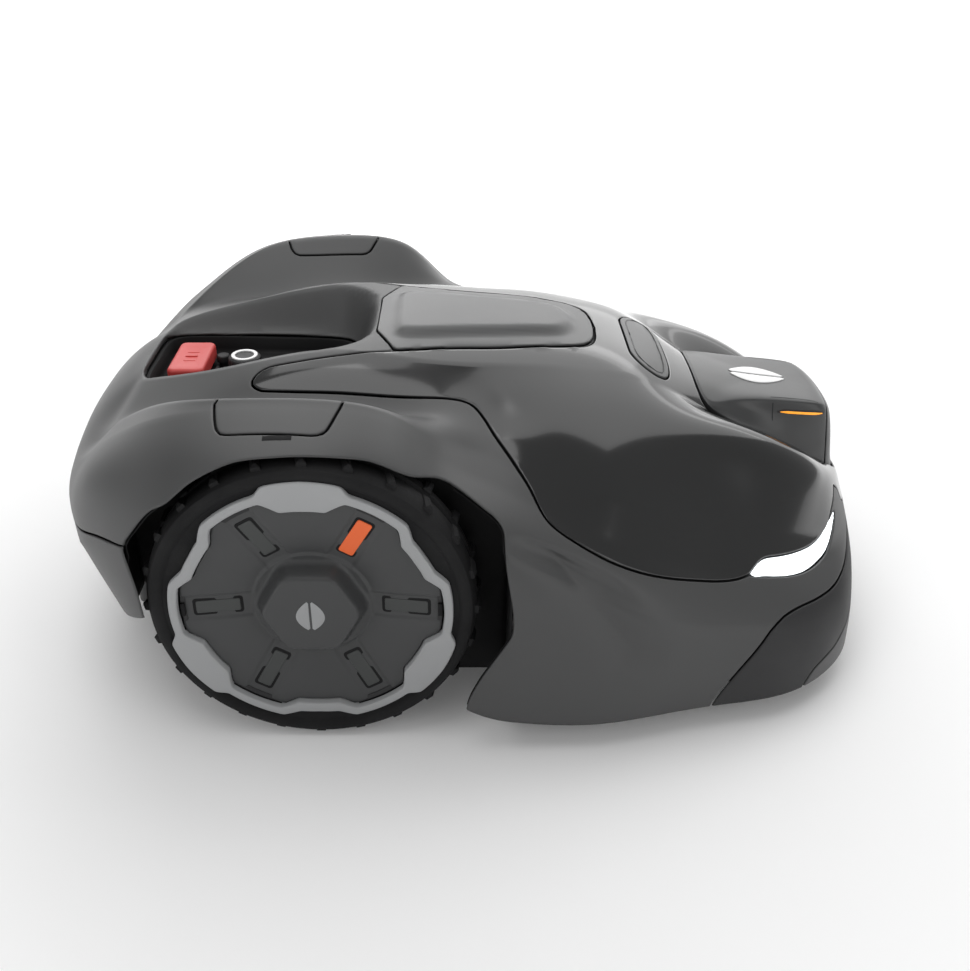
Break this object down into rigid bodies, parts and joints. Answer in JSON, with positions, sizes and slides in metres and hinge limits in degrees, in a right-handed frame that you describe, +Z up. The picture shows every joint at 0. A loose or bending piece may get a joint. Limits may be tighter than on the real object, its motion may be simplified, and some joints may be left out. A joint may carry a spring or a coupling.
{
  "type": "robotic lawn mower",
  "caption": "Robotic lawn mower: floating body cover on a sealed chassis with lugged drive wheels, front casters and a height-adjustable cutting disc with pivoting blades.",
  "frame": {"origin": "on the ground under the centre of the mower's overall bounding box", "axes": "+X towards the front, +Y towards the mower's left side, +Z up"},
  "size_m": [0.696, 0.5202, 0.2723],
  "materials": {
    "body_grey": "matte",
    "gloss_black": "gloss",
    "satin_grey": "satin",
    "soft_black": "matte",
    "silver_plastic": "satin",
    "orange": "satin",
    "red": "satin",
    "white": "gloss",
    "amber": "gloss",
    "tread_rubber": "matte",
    "steel": "brushed",
    "motor_steel": "satin",
    "aluminium": "satin",
    "board_green": "satin",
    "brass": "satin",
    "battery_blue": "satin"
  },
  "bodies": {
    "chassis": {"chassis_tub": "soft_black", "chassis_deck": "soft_black", "chassis_screws": "steel", "battery_pack": "battery_blue", "main_board": "board_green", "drive_motor_left": "motor_steel", "drive_motor_right": "motor_steel", "float_posts": "soft_black", "charge_contacts": "brass", "height_guide_rods": "steel", "height_motor": "soft_black"},
    "cutter_carriage": {"motor_carriage": "silver_plastic", "blade_motor": "motor_steel"},
    "blade_disc": {"blade_disc": "aluminium", "blade_screws": "steel"},
    "blade_1": {"blade_1": "steel"},
    "blade_2": {"blade_2": "steel"},
    "blade_3": {"blade_3": "steel"},
    "skid_plate": {"skid_plate": "soft_black"},
    "float_frame": {"float_sockets": "soft_black"},
    "shell": {"body_shell": "body_grey", "rear_skirt": "body_grey", "hood": "gloss_black", "top_hatch": "satin_grey", "fender_cap_left": "satin_grey", "fender_cap_right": "satin_grey", "name_plate": "silver_plastic", "sensor_module": "satin_grey", "marker_lights": "amber", "emblem": "white", "headlights": "white", "bumper_pad": "soft_black", "bumper_insert": "body_grey", "control_panel": "soft_black", "status_light": "white"},
    "stop_button": {"stop_button": "red"},
    "mode_dial": {"mode_dial": "soft_black", "dial_ring": "white"},
    "power_button": {"power_button": "soft_black"},
    "wheel_left": {"tyre_left": "tread_rubber", "wheel_rim_left": "soft_black", "axle_left": "steel", "trim_ring_left": "silver_plastic", "wheel_cap_left": "satin_grey", "cap_inserts_left": "soft_black", "cap_accent_left": "orange"},
    "caster_fork_left": {"caster_fork_left": "soft_black"},
    "caster_wheel_left": {"caster_rim_left": "silver_plastic", "caster_tyre_left": "tread_rubber"},
    "wheel_right": {"tyre_right": "tread_rubber", "wheel_rim_right": "soft_black", "axle_right": "steel", "trim_ring_right": "silver_plastic", "wheel_cap_right": "satin_grey", "cap_inserts_right": "soft_black", "cap_accent_right": "orange"},
    "caster_fork_right": {"caster_fork_right": "soft_black"},
    "caster_wheel_right": {"caster_rim_right": "silver_plastic", "caster_tyre_right": "tread_rubber"}
  },
  "joints": [
    {"name": "cutting_height", "type": "slide", "parent": "chassis", "child": "cutter_carriage", "axis": [0, 0, 1], "range_m": [-0.04, 0]},
    {"name": "disc_spin", "type": "hinge", "parent": "cutter_carriage", "child": "blade_disc", "pos_m": [0.045, 0, 0.06], "axis": [0, 0, 1], "continuous": true},
    {"name": "skid_spin", "type": "hinge", "parent": "blade_disc", "child": "skid_plate", "pos_m": [0.045, 0, 0.048], "axis": [0, 0, 1], "continuous": true},
    {"name": "blade_1_pivot", "type": "hinge", "parent": "blade_disc", "child": "blade_1", "pos_m": [0.045, 0.083, 0.057], "axis": [0, 0, 1], "continuous": true},
    {"name": "blade_2_pivot", "type": "hinge", "parent": "blade_disc", "child": "blade_2", "pos_m": [-0.02688, -0.0415, 0.057], "axis": [0, 0, 1], "continuous": true},
    {"name": "blade_3_pivot", "type": "hinge", "parent": "blade_disc", "child": "blade_3", "pos_m": [0.11688, -0.0415, 0.057], "axis": [0, 0, 1], "continuous": true},
    {"name": "drive_left", "type": "hinge", "parent": "chassis", "child": "wheel_left", "pos_m": [-0.121, 0.21, 0.125], "axis": [0, 1, 0], "continuous": true},
    {"name": "caster_swivel_left", "type": "hinge", "parent": "chassis", "child": "caster_fork_left", "pos_m": [0.205, 0.12, 0.1], "axis": [0, 0, 1], "continuous": true},
    {"name": "caster_roll_left", "type": "hinge", "parent": "caster_fork_left", "child": "caster_wheel_left", "pos_m": [0.177, 0.12, 0.042], "axis": [0, 1, 0], "continuous": true},
    {"name": "drive_right", "type": "hinge", "parent": "chassis", "child": "wheel_right", "pos_m": [-0.121, -0.21, 0.125], "axis": [0, 1, 0], "continuous": true},
    {"name": "caster_swivel_right", "type": "hinge", "parent": "chassis", "child": "caster_fork_right", "pos_m": [0.205, -0.12, 0.1], "axis": [0, 0, 1], "continuous": true},
    {"name": "caster_roll_right", "type": "hinge", "parent": "caster_fork_right", "child": "caster_wheel_right", "pos_m": [0.177, -0.12, 0.042], "axis": [0, 1, 0], "continuous": true},
    {"name": "bump", "type": "slide", "parent": "chassis", "child": "float_frame", "axis": [1, 0, 0], "range_m": [-0.005, 0.005], "stiffness_N_per_m": 3000},
    {"name": "shell_lift", "type": "slide", "parent": "float_frame", "child": "shell", "axis": [0, 0, 1], "range_m": [0, 0.012]},
    {"name": "stop_press", "type": "slide", "parent": "shell", "child": "stop_button", "axis": [0, 0, 1], "range_m": [-0.005, 0], "stiffness_N_per_m": 900, "springref_m": 0.001},
    {"name": "mode_turn", "type": "hinge", "parent": "shell", "child": "mode_dial", "pos_m": [-0.203, 0, 0.21], "axis": [0, 0, 1], "range_deg": [-150, 150]},
    {"name": "power_press", "type": "slide", "parent": "shell", "child": "power_button", "axis": [0, 0, 1], "range_m": [-0.0025, 0], "stiffness_N_per_m": 500, "springref_m": 0.001}
  ]
}
